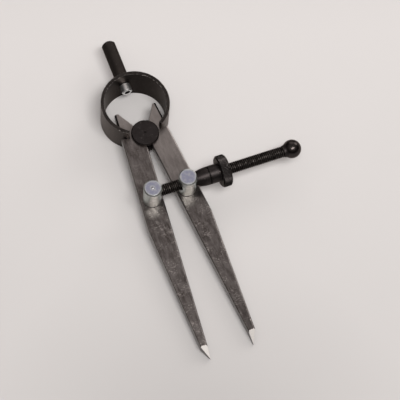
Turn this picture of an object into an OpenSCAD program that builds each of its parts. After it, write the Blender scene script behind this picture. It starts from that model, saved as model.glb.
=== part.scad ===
// Spring divider, 100 mm size, lying on its back.
// Origin: where the fulcrum axis meets the plane of the bow's lower edge.
// +Y runs to the handle, +X along the adjusting screw to its ball end, +Z out of the front of the legs.

/* [Legs] */
// Distance from the fulcrum axis to each point
leg_len = 100; // [80:1:130]
// Width of the parallel part of a leg
leg_w = 9.5; // [8.5:0.25:10.5]
// Thickness of a leg
leg_t = 4; // [3:0.25:5]
// Distance of each inner edge from the fulcrum axis
inner_edge = 0.5; // [0.3:0.1:1]
// Angle of each leg from the centre line as drawn
spread = 4.9; // [3:0.1:12]
// Distance below the fulcrum where the outer edge starts to taper
taper_start = 42; // [38:1:55]
// Width of a leg where its point is ground
tip_w = 2.9; // [2:0.1:4]
// Length of the ground point
tip_len = 5; // [3:0.5:8]
// Thickness left at the very point
point_t = 1.2; // [0.4:0.1:2]
// Chamfer on the long edges of a leg
leg_chamfer = 0.4; // [0.2:0.05:0.6]
// Height of the horn above the fulcrum axis
horn_h = 11.4; // [9:0.1:12]
// Width of the blunt top of the horn
horn_top_w = 1.5; // [1:0.1:2.5]
// Bevel on the horn's outer edges, beside the bow
horn_bevel = 0.7; // [0.3:0.05:1]

/* [Bow spring] */
// Outside diameter of the bow
bow_d = 28.4; // [28:0.2:34]
// Width of the bow strip at the handle
bow_w = 16.6; // [15:0.2:18]
// Width of the bow strip at the level of the fulcrum
bow_end_w = 13.4; // [12:0.2:15]
// Thickness of the bow strip
bow_t = 1.4; // [1:0.1:1.8]
// Distance from the flanges' rims to the floor of the notch in a leg
notch_land = 1; // [0.9:0.05:1.3]
// Depth of the notch's lower corner below the fulcrum axis
notch_drop = 0.7; // [0.4:0.05:1.2]
// Slope of the notch's lower flank
notch_slope = 10; // [5:1:12]
// Depth of the slot in each end of the bow
fork_depth = 1; // [0.6:0.1:1.1]

/* [Handle] */
// Diameter of the handle
handle_d = 5.8; // [5:0.1:8]
// Length of the handle beyond the bow
handle_len = 20.2; // [14:0.1:30]
// Height of the domed end of the handle
handle_dome = 1.5; // [0.5:0.1:2.4]
// Chamfer at the foot of the handle
handle_chamfer = 0.3; // [0.2:0.05:0.6]
// Diameter of the handle screw
handle_screw_d = 2.5; // [2:0.1:3]
// Depth that the handle screw goes into the handle
handle_screw_depth = 6; // [4:0.5:10]
// Diameter of the handle screw's head
head_d = 4.4; // [4:0.1:5]
// Height of the handle screw's head
head_h = 3.4; // [2.4:0.1:4]
// Chamfer on the rim of the head
head_chamfer = 0.4; // [0.2:0.05:0.6]
// Width of the hexagon socket in the head, over its corners
socket_w = 2.6; // [1.6:0.1:3]
// Depth of the hexagon socket
socket_depth = 1.6; // [0.8:0.1:2]

/* [Fulcrum roll] */
// Diameter of the two flanges
flange_d = 11.5; // [10.5:0.1:12.5]
// Thickness of each flange
flange_t = 1.2; // [0.8:0.1:1.6]
// Chamfer on the flanges' rims
flange_chamfer = 0.4; // [0.2:0.05:0.5]
// Diameter of the barrel that the legs rock on
barrel_d = 6; // [5:0.1:7]
// Diameter of the centre mark on the front flange
centre_mark_d = 1; // [0.5:0.1:1.5]

/* [Posts] */
// Distance of the posts below the fulcrum axis, along a leg
post_down = 29.3; // [26:0.1:33]
// Distance of a post's axis from the leg's inner edge
post_in = 4.5; // [4.2:0.1:5]
// Diameter of a post
post_d = 7.5; // [6.8:0.1:8]
// Height of a post above the leg
post_h = 10.6; // [10:0.1:12]
// Chamfer at the top of a post
post_chamfer = 0.5; // [0.2:0.1:0.8]
// Chamfer at the foot of a post
post_foot = 0.35; // [0.2:0.05:0.6]
// Depth of the seat for the nut on the right post
seat_depth = 0.75; // [0.5:0.05:1]
// Diameter of the post's stem through the leg
stem_d = 4; // [3:0.1:4.6]
// Thickness of the washer behind the leg
washer_t = 0.6; // [0.4:0.1:1]
// Diameter of the washer behind the leg
washer_d = 7; // [6.6:0.1:8]
// Diameter of the riveted end of the stem
rivet_d = 5.5; // [5:0.1:6]
// Height of the riveted end of the stem
rivet_h = 0.8; // [0.5:0.1:1.2]

/* [Adjusting screw] */
// Diameter of the screw over its thread
screw_d = 4.7; // [4.2:0.1:4.9]
// Height of the screw's axis above the leg
screw_rise = 5.6; // [5.2:0.1:6]
// How far the screw's hole goes past the left post's axis
screw_inset = 1.9; // [1:0.1:2.4]
// Diameter of the pin that locks the screw in the left post
pin_d = 1.2; // [0.8:0.1:1.6]
// Height of the pin's domed top
pin_dome = 0.2; // [0.1:0.05:0.4]
// Distance from the left post's axis to the middle of the ball
ball_reach = 60.4; // [58:0.2:80]
// Diameter of the ball end
ball_d = 7.7; // [6.8:0.1:9]
// Length of the ball's neck outside the ball
neck_len = 0.5; // [0.2:0.1:2]
// Wall of the neck round the screw
neck_wall = 0.25; // [0.2:0.05:0.4]
// Angle from the screw's axis at which the neck meets the ball
neck_angle = 50; // [45:1:60]

/* [Nut] */
// Diameter of the knurled wheel
wheel_d = 13.2; // [11:0.2:16]
// Thickness of the knurled wheel
wheel_w = 4; // [3:0.1:6]
// Chamfer on the rims of the wheel
wheel_chamfer = 0.6; // [0.3:0.1:1]
// Number of serrations round the wheel
wheel_teeth = 72; // [48:2:96]
// Depth of the serrations
tooth_depth = 0.25; // [0.1:0.05:0.4]
// Diameter of the sleeve's plain barrel
sleeve_d = 7.6; // [7.4:0.1:9]
// Length of the sleeve's plain barrel
sleeve_len = 4; // [3:0.1:6]
// Wall of the sleeve round the jaws' tails
sleeve_wall = 0.7; // [0.5:0.05:0.8]
// Thickness of the wall at the sleeve's far end
end_wall = 1; // [0.6:0.1:1.5]
// Length of the jaws' nose
nose_len = 5.7; // [4:0.1:8]
// Diameter of the nose where it meets the post
nose_d = 5.6; // [5.5:0.1:6.2]
// Width of the slit between the jaws
slit_w = 0.4; // [0.3:0.05:0.6]
// Width of the jaws' ring along the screw
ring_w = 0.4; // [0.3:0.05:0.6]
// Thickness of the jaws' ring
ring_t = 0.6; // [0.3:0.05:0.7]
// Angle left open in the jaws' ring
ring_opening = 30; // [20:5:60]

/* [Fits] */
// Radial clearance of turning parts
turn_gap = 0.05; // [0.02:0.01:0.1]
// Radial clearance of the screw in the right post
slide_gap = 0.1; // [0.05:0.01:0.1]
// Clearance between parts that lie side by side
side_gap = 0.1; // [0.05:0.01:0.15]
// Radial clearance of parts that are fixed together
fixed_gap = 0.02; // [0.01:0.01:0.03]
// Clearance of the bow's ends in the notches
notch_gap = 0.25; // [0.2:0.01:0.3]

/* [Hidden] */

$fn = 96;
// Overrun of cutting tools past the faces that they cut
over = 1;

// Heights: the legs lie in the middle of the bow's width
mid_z = bow_end_w / 2;
front_z = mid_z + leg_t / 2;
back_z = mid_z - leg_t / 2;
screw_z = front_z + screw_rise;

// A leg's outline is drawn with x across from the fulcrum axis and y up it
outer_edge = inner_edge + leg_w;
post_x = inner_edge + post_in;
notch_floor = flange_d / 2 + notch_land;
notch_top = bow_t + 2 * notch_gap - notch_drop;

// Where a point of the right leg's outline lies once the leg is spread
function spread_point(p) = [
  p.x * cos(spread) - p.y * sin(spread),
  p.x * sin(spread) + p.y * cos(spread)
];

// The posts stand at the same place on both legs
post_at = spread_point([post_x, -post_down]);

// The bow's ends reach into the notches, and the bow's middle follows from them
bow_r = bow_d / 2;
bow_inner_r = bow_r - bow_t;
bow_mid_r = bow_r - bow_t / 2;
end_offset = notch_gap + bow_t / 2;
end_at = spread_point([notch_floor + end_offset, end_offset * (1 + tan(notch_slope)) - notch_drop]);
slot_angle = asin(end_at.x / bow_mid_r);
end_angle = slot_angle - asin(fork_depth / bow_mid_r);
bow_y = end_at.y + bow_mid_r * cos(slot_angle);
bow_top = bow_y + bow_r;

// The handle screw's head bears on the hollow of the bow at its two sides
head_seat = bow_y + sqrt(bow_inner_r ^ 2 - (head_d / 2) ^ 2) - fixed_gap;

// The nut is drawn along its axis, from the axis of the right post
seat_x = post_d / 2 - seat_depth;
nose_start = seat_x + side_gap;
nose_end = nose_start + nose_len;
sleeve_start = nose_end + ring_w + 2 * side_gap;
wheel_start = sleeve_start + sleeve_len;
sleeve_end = wheel_start + wheel_w;
tail_end = sleeve_end - end_wall - side_gap;
sleeve_r = sleeve_d / 2;
tail_r = sleeve_r - sleeve_wall;
bore_r = screw_d / 2 + turn_gap;

// The nose swells along an arc to the sleeve's diameter, and the post's seat clears it
nose_rise = (sleeve_d - nose_d) / 2;
nose_arc_r = (nose_len ^ 2 + nose_rise ^ 2) / (2 * nose_rise);
function nose_r(t) = sleeve_r - nose_arc_r + sqrt(nose_arc_r ^ 2 - (nose_len - t) ^ 2);
seat_r = nose_r(seat_depth) + side_gap;

// A leg's flat outline, without its notch and holes
module leg_outline() {
  polygon([
    [inner_edge, -leg_len],
    [inner_edge, 0],
    [outer_edge - horn_top_w, horn_h],
    [outer_edge, horn_h],
    [outer_edge, -taper_start],
    [inner_edge + tip_w, tip_len - leg_len]
  ]);
}

// The notch opens wide enough for the leg to rock round the bow's end
module notch_outline() {
  mouth = outer_edge - notch_floor + over;
  polygon([
    [notch_floor, -notch_drop],
    [notch_floor + mouth, mouth * tan(notch_slope) - notch_drop],
    [notch_floor + mouth, notch_top + mouth * tan(slot_angle + 2 * spread)],
    [notch_floor, notch_top]
  ]);
}

// The front of the ground point slopes down to the point
module point_bevel() {
  slope = atan((leg_t - point_t) / tip_len);
  translate([0, tip_len - leg_len, leg_t / 2])
    rotate([slope, 0, 0])
      translate([0, -2 * tip_len, 0])
        cube([outer_edge, 2 * tip_len, leg_t]);
}

// Block whose lower face cuts the chamfer of a front edge along X, with the leg on its +Y side
module chamfer_cutter(length, chamfer) {
  side = 4 * chamfer;
  translate([-over, chamfer / 2, leg_t / 2 - chamfer / 2])
    rotate([45, 0, 0])
      translate([0, -side / 2, 0])
        cube([length + 2 * over, side, side]);
}

// Chamfers the edges of both faces along the line from a to b, with the leg on its left
module edge_chamfer(a, b, chamfer = leg_chamfer) {
  heading = atan2(b.y - a.y, b.x - a.x);
  translate([a.x, a.y, 0])
    rotate([0, 0, heading]) {
      chamfer_cutter(norm(b - a), chamfer);
      mirror([0, 0, 1]) chamfer_cutter(norm(b - a), chamfer);
    }
}

// One leg about the fulcrum axis, before it is spread
module leg() {
  kink = [outer_edge, -taper_start];
  difference() {
    linear_extrude(leg_t, center = true)
      difference() {
        leg_outline();
        notch_outline();
        circle(d = barrel_d + 2 * turn_gap);
        translate([post_x, -post_down]) circle(d = stem_d + 2 * turn_gap);
      }
    point_bevel();
    edge_chamfer([inner_edge, -flange_d / 2], [inner_edge, -leg_len]);
    edge_chamfer([inner_edge + tip_w, tip_len - leg_len], kink);
    edge_chamfer(kink, [outer_edge, -notch_drop]);
    edge_chamfer([outer_edge, notch_top + over], [outer_edge, horn_h], horn_bevel);
  }
}

module right_leg() {
  color("dimgray")
    translate([0, 0, mid_z])
      rotate([0, 0, spread])
        leg();
}

// The left leg is the mirror image of the right one
module left_leg() {
  mirror([1, 0, 0]) right_leg();
}

// Wedge below the bow's middle that spans the given angle each way
module bow_gap(angle, height) {
  reach = bow_d;
  linear_extrude(height, center = true)
    polygon([[0, 0], [-reach * tan(angle), -reach], [reach * tan(angle), -reach]]);
}

// The bow's outline from the side: its width grows evenly towards the handle
module bow_side_outline() {
  growth = (bow_w - bow_end_w) / 2 / bow_top;
  low = -bow_r;
  high = bow_top + over;
  low_w = bow_end_w / 2 + growth * low;
  high_w = bow_end_w / 2 + growth * high;
  polygon([[low, -low_w], [high, -high_w], [high, high_w], [low, low_w]]);
}

// Open ring of tapered strip, each end slotted to straddle a leg in its notch
module bow_spring() {
  color("#26211f")
    translate([0, 0, mid_z])
      difference() {
        intersection() {
          translate([0, bow_y, 0]) cylinder(r = bow_r, h = 2 * bow_w, center = true);
          rotate([90, 0, 90]) linear_extrude(2 * bow_d, center = true) bow_side_outline();
        }
        translate([0, bow_y, 0]) {
          cylinder(r = bow_inner_r, h = 2 * bow_w + over, center = true);
          bow_gap(end_angle, 2 * bow_w);
          bow_gap(slot_angle, leg_t + 2 * side_gap);
          rotate([-90, 0, 0]) cylinder(d = handle_screw_d + 2 * fixed_gap, h = bow_d);
        }
      }
}

// Rod along Z whose far end is a dome of the given height
module domed_rod(d, length, dome) {
  dome_r = (d ^ 2 / 4 + dome ^ 2) / (2 * dome);
  cylinder(d = d, h = length - dome);
  intersection() {
    cylinder(d = d, h = length);
    translate([0, 0, length - dome_r]) sphere(dome_r);
  }
}

// Rod with a domed end, its chamfered foot hollowed to the curve of the bow
module handle() {
  foot_d = handle_d - 2 * handle_chamfer;
  color("#1d1b1a")
    translate([0, bow_y, mid_z])
      difference() {
        rotate([-90, 0, 0]) {
          cylinder(d = foot_d, h = bow_r + over);
          translate([0, 0, bow_r]) cylinder(d1 = foot_d, d2 = handle_d, h = handle_chamfer);
          translate([0, 0, bow_r + handle_chamfer])
            domed_rod(handle_d, handle_len - handle_chamfer, handle_dome);
        }
        cylinder(r = bow_r + fixed_gap, h = bow_w, center = true);
        rotate([-90, 0, 0])
          cylinder(d = handle_screw_d + 2 * fixed_gap, h = bow_r + handle_screw_depth + over);
      }
}

// Socket head screw from inside the bow into the handle
module handle_screw() {
  shank_len = bow_top - head_seat + handle_screw_depth;
  rim_d = head_d - 2 * head_chamfer;
  color("gainsboro")
    translate([0, head_seat, mid_z])
      rotate([-90, 0, 0])
        difference() {
          union() {
            translate([0, 0, -head_h]) cylinder(d1 = rim_d, d2 = head_d, h = head_chamfer);
            translate([0, 0, head_chamfer - head_h]) cylinder(d = head_d, h = head_h - head_chamfer);
            cylinder(d = handle_screw_d, h = shank_len);
          }
          translate([0, 0, -head_h - over]) cylinder(d = socket_w, h = over + socket_depth, $fn = 6);
        }
}

// One flange of the fulcrum roll, chamfered at its far rim
module flange() {
  cylinder(d = flange_d, h = flange_t - flange_chamfer);
  translate([0, 0, flange_t - flange_chamfer])
    cylinder(d1 = flange_d, d2 = flange_d - 2 * flange_chamfer, h = flange_chamfer);
}

// A turned spool: the legs' inner edges rock on its barrel between the two flanges
module fulcrum_roll() {
  barrel_len = leg_t + 2 * side_gap;
  mark_r = centre_mark_d / 2;
  color("#211e1d")
    translate([0, 0, mid_z])
      difference() {
        union() {
          cylinder(d = barrel_d, h = barrel_len, center = true);
          translate([0, 0, barrel_len / 2]) flange();
          mirror([0, 0, 1]) translate([0, 0, barrel_len / 2]) flange();
        }
        translate([0, 0, barrel_len / 2 + flange_t - mark_r])
          cylinder(r1 = 0, r2 = 2 * mark_r, h = 2 * mark_r);
      }
}

// Post with its stem through the leg, riveted over the washer at the back
module post_blank() {
  stem_len = leg_t + washer_t + 2 * side_gap;
  cylinder(d1 = post_d - 2 * post_foot, d2 = post_d, h = post_foot);
  translate([0, 0, post_foot]) cylinder(d = post_d, h = post_h - post_foot - post_chamfer);
  translate([0, 0, post_h - post_chamfer])
    cylinder(d1 = post_d, d2 = post_d - 2 * post_chamfer, h = post_chamfer);
  translate([0, 0, -stem_len]) cylinder(d = stem_d, h = stem_len + over);
  translate([0, 0, -stem_len - rivet_h]) cylinder(d1 = stem_d, d2 = rivet_d, h = rivet_h);
}

// The screw is fixed in this post by a pin from the top
module left_post() {
  color("silver")
    translate([-post_at.x, post_at.y, front_z])
      difference() {
        translate([0, 0, side_gap]) post_blank();
        translate([-screw_inset, 0, screw_rise])
          rotate([0, 90, 0])
            cylinder(d = screw_d + 2 * fixed_gap, h = 2 * post_d);
        translate([0, 0, screw_rise - screw_d])
          cylinder(d = pin_d + 2 * fixed_gap, h = screw_d + post_h);
      }
}

// The screw slides through this post, and the nut's nose bears on a seat in its side
module right_post() {
  color("silver")
    translate([post_at.x, post_at.y, front_z])
      difference() {
        translate([0, 0, side_gap]) post_blank();
        translate([-post_d, 0, screw_rise])
          rotate([0, 90, 0])
            cylinder(d = screw_d + 2 * slide_gap, h = 2 * post_d);
        translate([seat_x, 0, screw_rise])
          rotate([0, 90, 0])
            cylinder(r = seat_r, h = post_d);
      }
}

module post_washer() {
  color("silver")
    translate([0, 0, back_z - washer_t - side_gap / 2])
      difference() {
        cylinder(d = washer_d, h = washer_t);
        translate([0, 0, -over]) cylinder(d = stem_d + 2 * fixed_gap, h = washer_t + 2 * over);
      }
}

module left_post_washer() {
  translate([-post_at.x, post_at.y, 0]) post_washer();
}

module right_post_washer() {
  translate([post_at.x, post_at.y, 0]) post_washer();
}

// Puts what is drawn along +Z on the screw's axis, from the given place along X
module along_screw(x) {
  translate([x, post_at.y, screw_z]) rotate([0, 90, 0]) children();
}

module adjusting_screw() {
  inset = screw_inset - fixed_gap;
  color("#191716")
    difference() {
      along_screw(-post_at.x - inset) cylinder(d = screw_d, h = inset + ball_reach);
      translate([-post_at.x, post_at.y, screw_z - screw_d])
        cylinder(d = pin_d + 2 * fixed_gap, h = 2 * screw_d);
    }
}

// Pin through the screw, its domed top just above the post's
module screw_pin() {
  bottom = screw_z - screw_d + fixed_gap;
  post_top = front_z + side_gap + post_h;
  color("silver")
    translate([-post_at.x, post_at.y, bottom])
      domed_rod(pin_d, post_top + pin_dome - bottom, pin_dome);
}

// Ball fixed on the end of the screw, with a short flared neck
module ball_end() {
  ball_r = ball_d / 2;
  neck_top = -ball_r * cos(neck_angle);
  color("#1c1a19")
    along_screw(ball_reach - post_at.x)
      difference() {
        union() {
          sphere(ball_r);
          translate([0, 0, -ball_r - neck_len])
            cylinder(
              r1 = screw_d / 2 + neck_wall,
              r2 = ball_r * sin(neck_angle),
              h = ball_r + neck_len + neck_top
            );
        }
        translate([0, 0, -ball_r - neck_len - over])
          cylinder(d = screw_d + 2 * fixed_gap, h = ball_r + neck_len + over + fixed_gap);
      }
}

// Serrated outline of the wheel, one peak and one valley per serration
module serrated_disc() {
  half_tooth = 180 / wheel_teeth;
  polygon([
    for (i = [0 : 2 * wheel_teeth - 1])
      (wheel_d / 2 - (i % 2) * tooth_depth) * [cos(i * half_tooth), sin(i * half_tooth)]
  ]);
}

// Serrated disc with both rims chamfered by a cone
module serrated_wheel() {
  rim_r = wheel_d / 2 - wheel_chamfer;
  intersection() {
    linear_extrude(wheel_w) serrated_disc();
    cylinder(r1 = rim_r, r2 = rim_r + wheel_w, h = wheel_w);
    cylinder(r1 = rim_r + wheel_w, r2 = rim_r, h = wheel_w);
  }
}

// Knurled wheel and plain barrel, bored for the jaws' tails and the screw
module nut_sleeve() {
  color("#201d1c")
    along_screw(post_at.x)
      difference() {
        union() {
          translate([0, 0, sleeve_start]) cylinder(r = sleeve_r, h = sleeve_len + over);
          translate([0, 0, wheel_start]) serrated_wheel();
        }
        translate([0, 0, sleeve_start - over])
          cylinder(r = tail_r + fixed_gap, h = sleeve_end - end_wall - sleeve_start + over);
        translate([0, 0, sleeve_start]) cylinder(r = bore_r + side_gap, h = sleeve_end);
      }
}

// Half section of the nose
module nose_section() {
  intersection() {
    square([sleeve_r, nose_len]);
    translate([sleeve_r - nose_arc_r, nose_len]) circle(nose_arc_r, $fn = 360);
  }
}

// Split nut: a swelling nose, and a tail that the ring and the sleeve hold together
module split_nut() {
  difference() {
    union() {
      translate([0, 0, nose_start]) rotate_extrude() nose_section();
      translate([0, 0, nose_start + over]) cylinder(r = tail_r, h = tail_end - nose_start - over);
    }
    cylinder(r = bore_r, h = sleeve_end);
  }
}

// The half of the split nut above the slit, or the half below it
module nut_jaw(upper) {
  color("#2a2625")
    along_screw(post_at.x)
      intersection() {
        split_nut();
        translate([upper ? -sleeve_d - slit_w / 2 : slit_w / 2, -sleeve_r, 0])
          cube([sleeve_d, sleeve_d, sleeve_end]);
      }
}

module nut_jaw_upper() {
  nut_jaw(true);
}

module nut_jaw_lower() {
  nut_jaw(false);
}

// Open flat ring round the jaws' tails, between the nose and the sleeve
module nut_ring() {
  color("gray")
    along_screw(post_at.x)
      translate([0, 0, nose_end + side_gap])
        rotate([0, 0, 90])
          rotate_extrude(angle = 360 - ring_opening)
            translate([tail_r + fixed_gap, 0]) square([ring_t, ring_w]);
}

left_leg();
right_leg();
bow_spring();
handle();
handle_screw();
fulcrum_roll();
left_post();
right_post();
left_post_washer();
right_post_washer();
adjusting_screw();
screw_pin();
ball_end();
nut_sleeve();
nut_jaw_upper();
nut_jaw_lower();
nut_ring();
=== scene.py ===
import math

import bmesh
import bpy
from mathutils import Matrix, Vector


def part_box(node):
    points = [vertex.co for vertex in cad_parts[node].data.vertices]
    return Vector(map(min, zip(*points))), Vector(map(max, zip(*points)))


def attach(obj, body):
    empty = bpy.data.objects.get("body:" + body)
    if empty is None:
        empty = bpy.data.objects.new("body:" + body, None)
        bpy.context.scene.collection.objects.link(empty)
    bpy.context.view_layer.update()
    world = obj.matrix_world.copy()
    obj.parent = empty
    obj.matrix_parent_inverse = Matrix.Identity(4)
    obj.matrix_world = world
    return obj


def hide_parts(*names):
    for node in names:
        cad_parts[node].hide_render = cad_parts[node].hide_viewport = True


# A spring divider that lies on a table: its finishes, thread and ball, the light and the camera

MM = 0.001

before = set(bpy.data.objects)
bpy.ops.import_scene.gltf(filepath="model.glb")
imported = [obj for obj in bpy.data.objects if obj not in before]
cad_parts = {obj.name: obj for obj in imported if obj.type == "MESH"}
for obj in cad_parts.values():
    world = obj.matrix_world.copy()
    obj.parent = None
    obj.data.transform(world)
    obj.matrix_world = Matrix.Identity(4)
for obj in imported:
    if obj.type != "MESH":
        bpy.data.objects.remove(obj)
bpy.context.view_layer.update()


# Shader helpers

# Places of the colour sockets on a Mix node
COLOUR_A, COLOUR_B, COLOUR_OUT = 6, 7, 2
BEVEL_SAMPLES = 6


def add_node(tree, kind, inputs=None, **settings):
    """Add a node. Inputs map socket names or numbers to values, or to the outputs that feed them."""
    made = tree.nodes.new(kind)
    for name, value in settings.items():
        setattr(made, name, value)
    for name, value in (inputs or {}).items():
        if isinstance(value, bpy.types.NodeSocket):
            tree.links.new(value, made.inputs[name])
        else:
            made.inputs[name].default_value = value
    return made


def new_material(name, metallic):
    """A material with its node tree and its shader."""
    material = bpy.data.materials.new(name)
    material.use_nodes = True
    shader = material.node_tree.nodes["Principled BSDF"]
    shader.inputs["Metallic"].default_value = metallic
    return material, material.node_tree, shader


def connect(tree, shader, **sockets):
    """Link outputs to the shader's sockets, named with _ for a space."""
    for name, output in sockets.items():
        tree.links.new(output, shader.inputs[name.replace("_", " ")])


def math_node(tree, operation, first, second=0.0):
    """The result of one operation on one or two numbers."""
    return add_node(tree, "ShaderNodeMath", {0: first, 1: second}, operation=operation).outputs[0]


def times(tree, first, second):
    """The product of two numbers."""
    return math_node(tree, "MULTIPLY", first, second)


def vector_number(tree, operation, first, second):
    """The number that one operation makes of two vectors, such as their distance."""
    inputs = {0: first, 1: second}
    return add_node(tree, "ShaderNodeVectorMath", inputs, operation=operation).outputs["Value"]


def between(tree, value, low, high):
    """0 where value is at low or beyond it, 1 at high or beyond it, and even in between."""
    settings = {"Value": value, "From Min": low, "From Max": high}
    return add_node(tree, "ShaderNodeMapRange", settings, clamp=True).outputs["Result"]


def spread(tree, share, low, high):
    """Turns a share from 0 to 1 into a number from low to high."""
    settings = {"Value": share, "To Min": low, "To Max": high}
    return add_node(tree, "ShaderNodeMapRange", settings, clamp=True).outputs["Result"]


def blend_colours(tree, share, first, second):
    """The first colour where share is 0, the second where it is 1. Colours are sockets or triples."""
    sockets = [c if isinstance(c, bpy.types.NodeSocket) else (*c, 1) for c in (first, second)]
    inputs = {0: share, COLOUR_A: sockets[0], COLOUR_B: sockets[1]}
    return add_node(tree, "ShaderNodeMix", inputs, data_type="RGBA").outputs[COLOUR_OUT]


def object_place(tree, stretch=(1, 1, 1)):
    """Object coordinates, so that the pattern stays on the piece as it moves."""
    place = add_node(tree, "ShaderNodeTexCoord").outputs["Object"]
    return add_node(tree, "ShaderNodeMapping", {"Vector": place, "Scale": stretch}).outputs["Vector"]


def along(tree, place, direction):
    """How far a place lies in a direction."""
    return vector_number(tree, "DOT_PRODUCT", place, Vector(direction).normalized())


def noise(tree, place, size, detail=3, roughness=0.55):
    """Noise from 0 to 1 whose blotches are about that size across, in metres."""
    settings = {"Vector": place, "Scale": 1 / size, "Detail": detail, "Roughness": roughness}
    return add_node(tree, "ShaderNodeTexNoise", settings).outputs["Fac"]


def blotches(tree, place, size, low, high, **settings):
    """Noise of that size with its contrast raised: 0 below its level low, 1 above its level high."""
    return between(tree, noise(tree, place, size, **settings), low, high)


def hairlines(tree, place, size, width):
    """1 on thin wandering lines: the level lines of a noise of that size. Width is in its levels."""
    level = noise(tree, place, size, detail=1)
    off_line = math_node(tree, "ABSOLUTE", math_node(tree, "SUBTRACT", level, 0.5))
    return between(tree, off_line, width, 0)


def rounded_normal(tree, radius):
    """The surface's normal, as if its edges were rounded by that radius."""
    return add_node(tree, "ShaderNodeBevel", {"Radius": radius}, samples=BEVEL_SAMPLES).outputs["Normal"]


def edge_share(tree, radius, low, high):
    """1 on sharp edges and 0 on flats, read from how far rounding turns the surface."""
    flat = add_node(tree, "ShaderNodeNewGeometry").outputs["Normal"]
    likeness = vector_number(tree, "DOT_PRODUCT", rounded_normal(tree, radius), flat)
    return between(tree, math_node(tree, "SUBTRACT", 1.0, likeness), low, high)


def bump(tree, height, depth, edge_radius=None):
    """Normal with that height field, depth metres deep, over edges rounded by edge_radius."""
    settings = {"Height": height, "Distance": depth}
    if edge_radius:
        settings["Normal"] = rounded_normal(tree, edge_radius)
    return add_node(tree, "ShaderNodeBump", settings).outputs["Normal"]


# Materials

BLACK = (0, 0, 0)
RUBBED_STEEL_AND_PAINTED_SHEEN = (0.5, 0.46, 0.44)
WORN_EDGE = (0.6, 0.57, 0.55)
CHIPPED_EDGE = (0.65, 0.61, 0.58)
ZINC_BLOTCH = (0.6, 0.6, 0.6)
GLANCING_TINT = Vector((1, 0.95, 0.92))

LEG_ROUNDING = 0.5 * MM
# Where the legs' tone changes, the painted reflection on the horns among them: from where a change
# starts to where it is full, down from the fulcrum
HORN_PALE = (-1 * MM, -7 * MM)
TOP_PALE = (38 * MM, 8 * MM)
POINT_DARK = (72 * MM, 94 * MM)
MARKS_THICKEN = (24 * MM, 38 * MM)
# The same from the left leg to the right one, along X
RIGHT_LEG = (-1 * MM, 4 * MM)


def leg_tones(tree, place, down):
    """Cloudy, streaked steel, its horns painted paler as reflection, paler on the right leg's top and
    darker at the right point.
    """
    clouds = blotches(tree, place, 7 * MM, 0.33, 0.67, detail=5, roughness=0.65)
    streaks = blotches(tree, object_place(tree, (1, 0.25, 1)), 0.9 * MM, 0.4, 0.66)
    on_right_leg = between(tree, along(tree, place, (1, 0, 0)), *RIGHT_LEG)
    # painted reflection: the horns are made paler, as where they mirror the bright room
    horns = between(tree, down, *HORN_PALE)
    top = times(tree, between(tree, down, *TOP_PALE), on_right_leg)
    point = times(tree, between(tree, down, *POINT_DARK), on_right_leg)
    pale = math_node(tree, "MAXIMUM", horns, top)
    steel = blend_colours(tree, clouds, (0.08, 0.068, 0.064), (0.178, 0.161, 0.156))
    brushed = blend_colours(tree, times(tree, streaks, 0.4), steel, (0.31, 0.285, 0.275))
    darker = blend_colours(tree, times(tree, point, 0.4), brushed, (0.06, 0.052, 0.05))
    return blend_colours(tree, times(tree, pale, 0.4), darker, RUBBED_STEEL_AND_PAINTED_SHEEN)


def leg_marks(tree, place, down):
    """Specks and broken scratches that gather in places, fewer above the posts than below them."""
    specks = blotches(tree, place, 0.55 * MM, 0.58, 0.66, detail=2)
    lines = hairlines(tree, object_place(tree, (0.3, 1, 1)), 1.8 * MM, 0.045)
    unbroken = blotches(tree, place, 1.3 * MM, 0.46, 0.58)
    busy = blotches(tree, place, 4 * MM, 0.44, 0.6)
    handled = spread(tree, between(tree, down, *MARKS_THICKEN), 0.3, 1)
    marks = math_node(tree, "MAXIMUM", specks, times(tree, lines, unbroken))
    return times(tree, times(tree, marks, busy), handled)


def gun_metal():
    """Blued leg steel: cloudy, speckled and scratched, brighter where its edges are worn."""
    material, tree, shader = new_material("gun_metal", metallic=1)
    place = object_place(tree)
    down = along(tree, place, (0, -1, 0))
    grain = noise(tree, place, 0.5 * MM, roughness=0.6)
    marks = leg_marks(tree, place, down)
    tones = leg_tones(tree, place, down)
    marked = blend_colours(tree, times(tree, marks, 0.7), tones, RUBBED_STEEL_AND_PAINTED_SHEEN)
    edges = edge_share(tree, LEG_ROUNDING, 0.01, 0.08)
    worn = times(tree, edges, spread(tree, grain, 0.1, 0.7))
    connect(
        tree,
        shader,
        Base_Color=blend_colours(tree, worn, marked, WORN_EDGE),
        Roughness=spread(tree, marks, 0.28, 0.36),
        Normal=bump(tree, grain, 0.004 * MM, LEG_ROUNDING),
    )
    return material


def ground_steel():
    """Freshly ground faces of the points: bright, with the wheel's lines across them."""
    material, tree, shader = new_material("ground_steel", metallic=1)
    lines = noise(tree, object_place(tree, (0.04, 1, 1)), 0.12 * MM, detail=2)
    connect(
        tree,
        shader,
        Base_Color=blend_colours(tree, lines, (0.46, 0.445, 0.43), (0.6, 0.58, 0.56)),
        Roughness=spread(tree, lines, 0.4, 0.55),
        Normal=bump(tree, lines, 0.01 * MM),
    )
    return material


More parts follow.
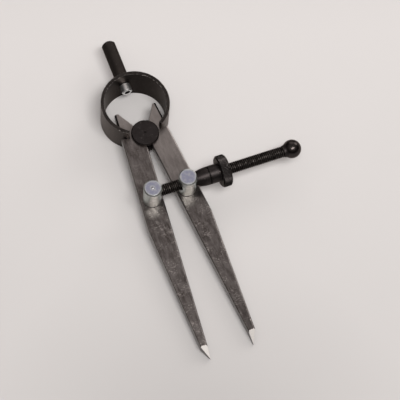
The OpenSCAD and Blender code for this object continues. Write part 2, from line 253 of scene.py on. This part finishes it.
def black_oxide(name, dark, light, roughness, chips, edge=0.6, wear=0.2 * MM, soft=0.1 * MM):
    """Black oxide on steel: satin, a little uneven, its edges chipped to bare grey.

    Chips is how bare the chips are, and wear how far they reach from an edge.
    Edge is how strongly it shines at glancing angles, and soft how far its edges are rounded.
    """
    material, tree, shader = new_material(name, metallic=1)
    place = object_place(tree)
    clouds = noise(tree, place, 4 * MM, detail=4, roughness=0.6)
    grain = noise(tree, place, 0.25 * MM, roughness=0.6)
    oxide = blend_colours(tree, between(tree, clouds, 0.3, 0.7), dark, light)
    flaws = blotches(tree, place, 0.7 * MM, 0.47, 0.6)
    worn_places = spread(tree, blotches(tree, place, 7 * MM, 0.42, 0.6), 0.15, 1)
    edges = edge_share(tree, wear, 0.03, 0.2)
    chipped = times(tree, times(tree, edges, flaws), worn_places)
    specks = blotches(tree, place, 0.6 * MM, 0.64, 0.74, detail=2)
    bare = math_node(tree, "MAXIMUM", times(tree, chipped, chips), times(tree, specks, 0.1))
    shader.inputs["Specular Tint"].default_value = (*(edge * GLANCING_TINT), 1)
    connect(
        tree,
        shader,
        Base_Color=blend_colours(tree, bare, oxide, CHIPPED_EDGE),
        Roughness=spread(tree, clouds, roughness, roughness + 0.08),
        Normal=bump(tree, grain, 0.003 * MM, soft),
    )
    return material


def rubbed_thread(centre, outer):
    """Black thread along X through centre, its crests rubbed to bare grey here and there."""
    material, tree, shader = new_material("rubbed_thread", metallic=1)
    across = object_place(tree, (0, 1, 1))
    radius = vector_number(tree, "DISTANCE", across, (0, centre.y, centre.z))
    crests = between(tree, radius, outer - 0.12 * MM, outer - 0.02 * MM)
    patches = blotches(tree, object_place(tree), 0.9 * MM, 0.35, 0.65)
    bare = times(tree, crests, patches)
    shader.inputs["Specular Tint"].default_value = (0.45, 0.42, 0.4, 1)
    connect(
        tree,
        shader,
        Base_Color=blend_colours(tree, bare, (0.013, 0.011, 0.01), (0.16, 0.144, 0.136)),
        Roughness=spread(tree, patches, 0.56, 0.42),
    )
    return material


def plated_steel(name, axis, end_reflection_tint, side_reflection_tint, rim_highlight_tint, roughness=0.28):
    """Zinc-plated turned steel: fine rings round its axis, with tints for its ends, sides and rims that
    paint the reflections and rim highlights of each face direction.
    """
    material, tree, shader = new_material(name, metallic=1)
    stretch = [1 if letter == axis else 0.05 for letter in "XYZ"]
    rings = noise(tree, object_place(tree, stretch), 0.15 * MM)
    haze = noise(tree, object_place(tree), 1.3 * MM, detail=4)
    normal = add_node(tree, "ShaderNodeNewGeometry").outputs["Normal"]
    parts = add_node(tree, "ShaderNodeSeparateXYZ", {"Vector": normal}).outputs
    ends = between(tree, math_node(tree, "ABSOLUTE", parts[axis]), 0.85, 0.95)
    rims = edge_share(tree, 1.4 * MM, 0.002, 0.03)
    # painted reflection: ends, sides and rims each take their own tint
    tint = blend_colours(tree, ends, side_reflection_tint, end_reflection_tint)
    rim_highlighted = blend_colours(tree, times(tree, rims, 0.7), tint, rim_highlight_tint)
    mottled = times(tree, between(tree, haze, 0.48, 0.66), 0.5)
    connect(
        tree,
        shader,
        Base_Color=blend_colours(tree, mottled, rim_highlighted, ZINC_BLOTCH),
        Roughness=spread(tree, haze, roughness, roughness + 0.1),
        Normal=bump(tree, rings, 0.002 * MM, 0.1 * MM),
    )
    return material


# The soft shade on the table's near side
SHADE_MIDDLE = Vector((-25, -130, 0)) * MM
SHADE_REACH = 85 * MM
SHADE_CORE = 15 * MM
SHADE_STRENGTH = 0.14


def table_top():
    """Pale matt table, with painted light that makes it paler towards the handle, and a soft shade on
    its near side.
    """
    material, tree, shader = new_material("table_top", metallic=0)
    place = object_place(tree)
    patches = noise(tree, place, 60 * MM, detail=2)
    # painted light: the table is paler towards the handle, as if more light fell there
    far = between(tree, along(tree, place, (0.3, 0.95, 0)), -127 * MM, 52 * MM)
    share = math_node(tree, "ADD", times(tree, patches, 0.1), times(tree, far, 0.9))
    lit = blend_colours(tree, share, (0.538, 0.531, 0.528), (0.684, 0.674, 0.671))
    off_shade = vector_number(tree, "DISTANCE", place, SHADE_MIDDLE)
    shade = times(tree, between(tree, off_shade, SHADE_REACH, SHADE_CORE), SHADE_STRENGTH)
    shader.inputs["Roughness"].default_value = 0.7
    shader.inputs["Specular IOR Level"].default_value = 0.2
    connect(tree, shader, Base_Color=blend_colours(tree, shade, lit, BLACK))
    return material


# Pieces made here

FULL_TURN = 2 * math.pi
# Points of a new mesh that lie closer than this become one
MERGE_DISTANCE = 1e-7

THREAD_PITCH = 0.8 * MM
THREAD_DEPTH = 0.4 * MM
THREAD_SIDES = 40
# One turn's profile: share of the pitch along the screw, share of the depth out from the root
THREAD_PROFILE = ((0, 0), (0.2, 0), (0.5, 1), (0.65, 1))

LATHE_SIDES = 72
SHARP_ANGLE = math.radians(35)

NECK_WALL = 0.15 * MM
NECK_FILLET = 1.8 * MM
BALL_STEPS = 30
FILLET_STEPS = 8


def new_piece(name, mesh):
    """An object in the scene that takes over a finished mesh."""
    data = bpy.data.meshes.new(name)
    mesh.to_mesh(data)
    mesh.free()
    piece = bpy.data.objects.new(name, data)
    bpy.context.scene.collection.objects.link(piece)
    return piece


def thread_point(step, side, start, end, root):
    """One point of a thread along Z, which runs out to the root at both ends."""
    count = len(THREAD_PROFILE)
    share, height = THREAD_PROFILE[step % count]
    z = (step // count + share + side / THREAD_SIDES) * THREAD_PITCH + start
    z = min(max(z, start), end)
    fade = min(1, (z - start) / THREAD_PITCH, (end - z) / THREAD_PITCH)
    radius = root + THREAD_DEPTH * height * fade
    angle = FULL_TURN * side / THREAD_SIDES
    return Vector((radius * math.cos(angle), radius * math.sin(angle), z))


def threaded_rod(name, start, end, outer):
    """Right-hand threaded rod along Z from start to end, as one closed mesh."""
    count = len(THREAD_PROFILE)
    root = outer - THREAD_DEPTH
    first, last = -count, count * math.ceil((end - start) / THREAD_PITCH) + 1
    mesh = bmesh.new()
    grid = {
        (step, side): mesh.verts.new(thread_point(step, side, start, end, root))
        for step in range(first, last + 1)
        for side in range(THREAD_SIDES)
    }
    for step in range(first, last - count):
        for side in range(THREAD_SIDES):
            seam = side == THREAD_SIDES - 1
            beside, jump = (0, count) if seam else (side + 1, 0)
            corners = [
                grid[step, side],
                grid[step + jump, beside],
                grid[step + jump + 1, beside],
                grid[step + 1, side],
            ]
            mesh.faces.new(corners)
    bmesh.ops.remove_doubles(mesh, verts=mesh.verts, dist=MERGE_DISTANCE)
    bmesh.ops.delete(mesh, geom=[v for v in mesh.verts if not v.link_faces], context="VERTS")
    bmesh.ops.holes_fill(mesh, edges=[e for e in mesh.edges if e.is_boundary])
    bmesh.ops.recalc_face_normals(mesh, faces=mesh.faces)
    rod = new_piece(name, mesh)
    rod.data.shade_flat()
    return rod


def screw_thread():
    """The adjusting screw with its thread, in the place of the plain solid."""
    low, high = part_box("adjusting_screw")
    middle = (low + high) / 2
    outer = (high.z - low.z) / 2
    rod = threaded_rod("adjusting_screw_thread", low.x, high.x, outer)
    turn = Matrix.Rotation(math.pi / 2, 4, "Y")
    rod.data.transform(Matrix.Translation((0, middle.y, middle.z)) @ turn)
    rod.data.materials.append(rubbed_thread(middle, outer))
    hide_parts("adjusting_screw")
    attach(rod, "left_post")


def arc(centre, radius, first, last, steps):
    """Points of an arc from one angle to another, both ends included."""
    angles = [first + (last - first) * step / steps for step in range(steps + 1)]
    return [(centre[0] + radius * math.cos(a), centre[1] + radius * math.sin(a)) for a in angles]


def lathe(name, outline, centre):
    """Closed mesh turned about the X axis through centre. Its outline gives places along X and radii."""
    mesh = bmesh.new()
    points = [mesh.verts.new(centre + Vector((shift, radius, 0))) for shift, radius in outline]
    edges = [mesh.edges.new(pair) for pair in zip(points, points[1:])]
    bmesh.ops.spin(
        mesh, geom=points + edges, cent=centre, axis=(1, 0, 0), angle=FULL_TURN, steps=LATHE_SIDES
    )
    bmesh.ops.remove_doubles(mesh, verts=mesh.verts, dist=MERGE_DISTANCE)
    bmesh.ops.recalc_face_normals(mesh, faces=mesh.faces)
    for face in mesh.faces:
        face.smooth = True
    for edge in mesh.edges:
        edge.smooth = edge.calc_face_angle(0) < SHARP_ANGLE
    return new_piece(name, mesh)


def ball_knob(ball_material, neck_material):
    """The ball with a filleted neck round the screw, in the place of the plain solid."""
    low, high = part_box("ball_end")
    screw_low, screw_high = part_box("adjusting_screw")
    radius = (high.z - low.z) / 2
    centre = Vector((high.x - radius, (low.y + high.y) / 2, (low.z + high.z) / 2))
    bore = (screw_high.z - screw_low.z) / 2
    fillet_out = bore + NECK_WALL + NECK_FILLET
    fillet_at = (-math.sqrt((radius + NECK_FILLET) ** 2 - fillet_out**2), fillet_out)
    touch = math.atan2(fillet_at[1], fillet_at[0])
    ball = arc((0, 0), radius, 0, touch, BALL_STEPS)
    fillet = arc(fillet_at, NECK_FILLET, touch - math.pi, -math.pi / 2, FILLET_STEPS)
    floor = screw_high.x - centre.x
    hole = [(fillet_at[0], bore), (floor, bore), (floor, 0)]
    knob = lathe("ball_knob", ball + fillet[1:] + hole, centre)
    knob.data.materials.append(ball_material)
    knob.data.materials.append(neck_material)
    for face in knob.data.polygons:
        if face.center.x < centre.x + radius * math.cos(touch):
            face.material_index = 1
    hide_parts("ball_end")
    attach(knob, "left_post")


# Faces that take a second material

# A point's ground face: the upward part of its normal, and its reach along the leg
GROUND_SLOPE_LOW, GROUND_SLOPE_HIGH = 0.8, 0.95
GROUND_REACH = 8 * MM
# Share of a wheel's radius beyond which a face belongs to its rim
RIM_SHARE = 0.85
# Least share of an inner face's normal that points at the axis of its ring
INWARD_SHARE = 0.8
# A socket's faces: their greatest distance from its axis, and their least and greatest depth
SOCKET_RADIUS = 1.25 * MM
SOCKET_MOUTH, SOCKET_FLOOR = 0.1 * MM, 2 * MM


def dress(name, *materials):
    """Give a CAD node these materials; all its faces take the first one."""
    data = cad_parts[name].data
    data.materials.clear()
    for material in materials:
        data.materials.append(material)
    for face in data.polygons:
        face.material_index = 0


def give_second(name, chosen):
    """The faces of a CAD node that the test chosen picks take the node's second material."""
    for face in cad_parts[name].data.polygons:
        if chosen(face):
            face.material_index = 1


def grind_point(name):
    """The sloping front face of a leg's point takes the leg's second material."""
    low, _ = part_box(name)

    def ground(face):
        sloping = GROUND_SLOPE_LOW < face.normal.z < GROUND_SLOPE_HIGH
        return sloping and face.center.y < low.y + GROUND_REACH

    give_second(name, ground)


def finish_rim(name):
    """The rim of a wheel on an axis along X takes the node's second material."""
    low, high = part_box(name)
    middle = (low + high) / 2
    rim = RIM_SHARE * (high.z - low.z) / 2

    def on_rim(face):
        off_axis = face.center - middle
        return math.hypot(off_axis.y, off_axis.z) > rim

    give_second(name, on_rim)


def paint_shade_inside(name):
    """The inner faces of a ring round an axis along Z take the node's second material, which paints
    their shade.
    """
    low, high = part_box(name)
    axis = Vector(((low.x + high.x) / 2, high.y - (high.x - low.x) / 2))

    def faces_axis(face):
        inward = (axis - face.center.to_2d()).normalized()
        return inward.dot(face.normal.to_2d()) > INWARD_SHARE

    give_second(name, faces_axis)


def paint_socket_shade(name):
    """The socket in the end of a screw along Y takes the node's second material, a black that paints the
    shade in the socket.
    """
    low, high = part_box(name)
    middle = (low + high) / 2

    def in_socket(face):
        off_axis = face.center - middle
        sunk = face.center.y - low.y
        near_axis = math.hypot(off_axis.x, off_axis.z) < SOCKET_RADIUS
        return near_axis and SOCKET_MOUTH < sunk < SOCKET_FLOOR

    give_second(name, in_socket)


# Finishes of the parts


def dress_legs():
    """Blued legs with ground points."""
    legs = gun_metal()
    points = ground_steel()
    for name in ("left_leg", "right_leg"):
        dress(name, legs, points)
        grind_point(name)


def dress_bow():
    """The bow, its inside painted blacker than its outside as shade, and its dull handle."""
    outside = black_oxide(
        "bow_black",
        dark=(0.027, 0.0235, 0.022),
        light=(0.047, 0.0415, 0.039),
        roughness=0.34,
        chips=0.9,
        edge=0.95,
        wear=0.5 * MM,
    )
    # painted shade: the bow's inner wall is a darker copy of its outside black
    inside = black_oxide(
        "inner_painted_shade_black",
        dark=(0.008, 0.0068, 0.0064),
        light=(0.017, 0.0148, 0.014),
        roughness=0.34,
        chips=0.9,
        edge=0.75,
        wear=0.5 * MM,
    )
    dress("bow_spring", outside, inside)
    paint_shade_inside("bow_spring")
    handle = black_oxide(
        "handle_black",
        dark=(0.03, 0.0255, 0.0235),
        light=(0.04, 0.034, 0.031),
        roughness=0.6,
        chips=0.3,
    )
    dress("handle", handle)


def dress_nut(satin):
    """The nut: satin jaws and sleeve, a darker rim on its wheel and a blacker ring."""
    rim = black_oxide(
        "rim_black",
        dark=(0.019, 0.0168, 0.0165),
        light=(0.029, 0.026, 0.0255),
        roughness=0.32,
        chips=0.6,
        soft=0.2 * MM,
    )
    ring = black_oxide(
        "ring_black",
        dark=(0.008, 0.007, 0.007),
        light=(0.012, 0.011, 0.011),
        roughness=0.5,
        chips=0.1,
        edge=0.4,
    )
    for name in ("nut_jaw_upper", "nut_jaw_lower"):
        dress(name, satin)
    dress("nut_sleeve", satin, rim)
    finish_rim("nut_sleeve")
    dress("nut_ring", ring)


def dress_screw(satin):
    """The adjusting screw with its thread and its glossy ball."""
    glossy = black_oxide(
        "ball_black",
        dark=(0.036, 0.031, 0.03),
        light=(0.048, 0.042, 0.04),
        roughness=0.19,
        chips=0.2,
        edge=0.7,
    )
    dress("adjusting_screw", satin)
    dress("ball_end", glossy)
    ball_knob(glossy, satin)
    screw_thread()


def dress_bright_pieces(painted_socket_shade):
    """Zinc-plated posts, washers and pin, and the handle screw painted brighter as highlight, with
    painted shade in its socket.
    """
    # painted reflection: the posts' ends bluish, their sides darker and their rims paler
    zinc = plated_steel(
        "zinc",
        "Z",
        end_reflection_tint=(0.355, 0.372, 0.49),
        side_reflection_tint=(0.34, 0.36, 0.335),
        rim_highlight_tint=(0.68, 0.72, 0.7),
    )
    for name in ("left_post", "right_post", "left_post_washer", "right_post_washer"):
        dress(name, zinc)
    pin_grey = (0.3, 0.3, 0.32)
    dress("screw_pin", plated_steel("zinc_pin", "Z", pin_grey, pin_grey, pin_grey))
    # painted highlight: the handle screw's sides and rims near white
    bright = (0.95, 0.95, 0.95)
    screw_zinc = plated_steel("zinc_screw", "Y", (0.8, 0.8, 0.8), bright, bright, roughness=0.37)
    # painted shade: the socket's faces take the black
    dress("handle_screw", screw_zinc, painted_socket_shade)
    paint_socket_shade("handle_screw")


# Table, light and camera

TABLE_SIZE = 6

LAMP_PLACE = Vector((0.035, -0.41, 1.14))
LAMP_AIM = Vector((0, -0.03, 0))
LAMP_WIDTH = 0.75
LAMP_HEIGHT = 0.32
LAMP_POWER = 11.3
LAMP_COLOUR = (1.0, 0.97, 0.95)

CAMERA_AIM = Vector((11.09, -34.69, 6.7)) * MM
CAMERA_DISTANCE = 729.8 * MM
CAMERA_AZIMUTH = math.radians(-27.355)
CAMERA_ELEVATION = math.radians(65.078)
CAMERA_ROLL = math.radians(7.294)
CAMERA_LENS = 162
CAMERA_NEAREST = 10 * MM


def table():
    """Table plane that the points and the bow's far lower edge lie on."""
    bow_low, bow_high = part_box("bow_spring")
    leg_low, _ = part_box("left_leg")
    slope = (bow_low.z - leg_low.z) / (bow_high.y - leg_low.y)
    bpy.ops.mesh.primitive_plane_add(size=TABLE_SIZE)
    plane = bpy.context.object
    plane.name = "table"
    plane.location = (0, 0, bow_low.z - slope * bow_high.y)
    plane.rotation_euler.x = math.atan(slope)
    plane.data.materials.append(table_top())


def room_light():
    """Dim room, darker at the horizon and in a patch overhead, with two windows for the metal."""
    world = bpy.data.worlds.new("room")
    world.use_nodes = True
    bpy.context.scene.world = world
    tree = world.node_tree
    direction = add_node(tree, "ShaderNodeTexCoord").outputs["Generated"]
    above = between(tree, along(tree, direction, (0, 0, 1)), 0.45, 0.85)
    overhead = between(tree, along(tree, direction, (0.2, 0.15, 0.97)), 0.94, 0.985)
    far_window = between(tree, along(tree, direction, (0.25, 0.8, 0.55)), 0.9, 0.98)
    right_window = between(tree, along(tree, direction, (0.78, 0.44, 0.44)), 0.945, 0.985)
    walls = blend_colours(tree, above, (0.08, 0.072, 0.068), (0.5, 0.465, 0.45))
    room = blend_colours(tree, overhead, walls, (0.36, 0.335, 0.325))
    lit_far = blend_colours(tree, far_window, room, (1.4, 1.3, 1.26))
    colour = blend_colours(tree, right_window, lit_far, (3.4, 3.2, 3.1))
    tree.links.new(colour, tree.nodes["Background"].inputs["Color"])


def lamp():
    """Soft rectangular lamp high over the near side of the table, its width along X."""
    data = bpy.data.lights.new("lamp", "AREA")
    data.shape = "RECTANGLE"
    data.size = LAMP_WIDTH
    data.size_y = LAMP_HEIGHT
    data.energy = LAMP_POWER
    data.color = LAMP_COLOUR
    light = bpy.data.objects.new("lamp", data)
    light.location = LAMP_PLACE
    light.rotation_euler = (LAMP_AIM - LAMP_PLACE).to_track_quat("-Z", "Y").to_euler()
    bpy.context.scene.collection.objects.link(light)


def camera():
    """Camera set by its aim, distance, azimuth, elevation and roll."""
    data = bpy.data.cameras.new("camera")
    data.lens = CAMERA_LENS
    data.clip_start = CAMERA_NEAREST
    made = bpy.data.objects.new("camera", data)
    flat = math.cos(CAMERA_ELEVATION)
    back = Vector(
        (math.sin(CAMERA_AZIMUTH) * flat, -math.cos(CAMERA_AZIMUTH) * flat, math.sin(CAMERA_ELEVATION))
    )
    upright = (-back).to_track_quat("-Z", "Y").to_matrix().to_4x4()
    tilt = Matrix.Rotation(CAMERA_ROLL, 4, "Z")
    made.matrix_world = Matrix.Translation(CAMERA_AIM + back * CAMERA_DISTANCE) @ upright @ tilt
    bpy.context.scene.collection.objects.link(made)
    bpy.context.scene.camera = made


# The scene

bpy.context.scene.view_settings.view_transform = "Standard"

satin_black = black_oxide(
    "nut_black",
    dark=(0.025, 0.0215, 0.021),
    light=(0.035, 0.031, 0.031),
    roughness=0.4,
    chips=0.5,
    edge=0.8,
)
dress_legs()
dress_bow()
dress("fulcrum_roll", satin_black)
dress_nut(satin_black)
dress_screw(satin_black)
dress_bright_pieces(satin_black)
table()
room_light()
lamp()
camera()
